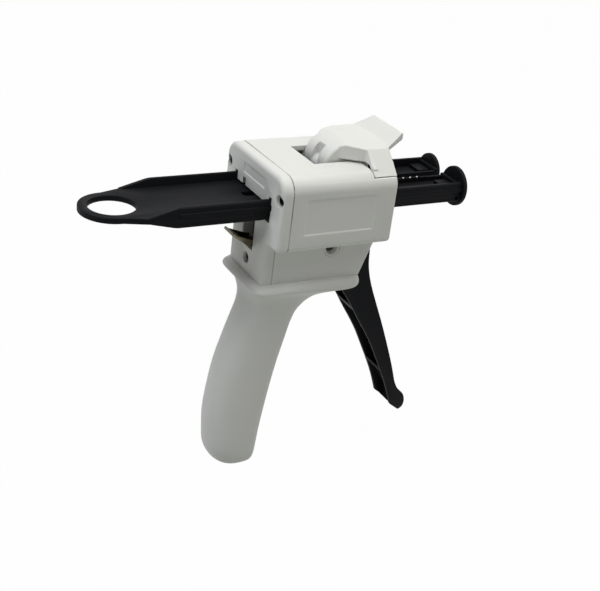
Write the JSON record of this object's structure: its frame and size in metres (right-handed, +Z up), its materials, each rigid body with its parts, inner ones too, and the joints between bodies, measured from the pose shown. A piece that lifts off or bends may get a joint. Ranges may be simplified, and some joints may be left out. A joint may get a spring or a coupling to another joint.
{
  "type": "dispensing gun",
  "caption": "Hand-held dispensing gun for side-by-side cartridges, with a trigger-driven ratchet plunger, pressing discs, a flip-up latch and a release lever.",
  "frame": {"origin": "on the plunger's axis, in the front face of the housing, where the cartridge seats", "axes": "+X the way the plunger pushes, +Y to the tool's left, +Z up"},
  "size_m": [0.1933, 0.06, 0.1782],
  "materials": {
    "body_plastic": "satin",
    "black_plastic": "satin",
    "bare_steel": "bare",
    "spring_steel": "bare",
    "dark_steel": "blackened"
  },
  "bodies": {
    "housing": {"main_housing": "body_plastic", "rear_cover": "body_plastic", "cover_screws": "dark_steel", "guide_rails": "body_plastic", "grip": "body_plastic", "trigger_pin": "dark_steel", "thrust_washers": "black_plastic", "return_spring": "spring_steel", "release_pin": "bare_steel", "release_spring": "spring_steel", "latch_pin": "bare_steel", "latch_spring": "spring_steel"},
    "plunger": {"plunger": "black_plastic", "large_disc": "black_plastic", "small_disc": "black_plastic"},
    "trigger": {"trigger": "black_plastic", "pawl_pin": "bare_steel", "pawl_spring": "spring_steel"},
    "pawl": {"drive_pawl": "bare_steel"},
    "release": {"release_lever": "bare_steel"},
    "latch": {"latch_lever": "body_plastic"}
  },
  "joints": [
    {"name": "plunger_slide", "type": "slide", "parent": "housing", "child": "plunger", "axis": [1, 0, 0], "range_m": [-0.057, 0.044]},
    {"name": "trigger_pull", "type": "hinge", "parent": "housing", "child": "trigger", "pos_m": [-0.0246, 0, -0.0238], "axis": [0, 1, 0], "range_deg": [0, 24], "stiffness_Nm_per_rad": 0.2, "springref_deg": -28.65},
    {"name": "pawl_swing", "type": "hinge", "parent": "trigger", "child": "pawl", "pos_m": [-0.0315, 0, -0.0145], "axis": [0, 1, 0], "range_deg": [0, 15], "stiffness_Nm_per_rad": 0.004, "springref_deg": -28.65},
    {"name": "release_press", "type": "hinge", "parent": "housing", "child": "release", "pos_m": [-0.0498, 0, -0.022], "axis": [0, 1, 0], "range_deg": [0, 12], "stiffness_Nm_per_rad": 0.02, "springref_deg": -34.38},
    {"name": "latch_lift", "type": "hinge", "parent": "housing", "child": "latch", "pos_m": [-0.025, 0, 0.0126], "axis": [0, -1, 0], "range_deg": [0, 75], "stiffness_Nm_per_rad": 0.01, "springref_deg": -28.65}
  ]
}
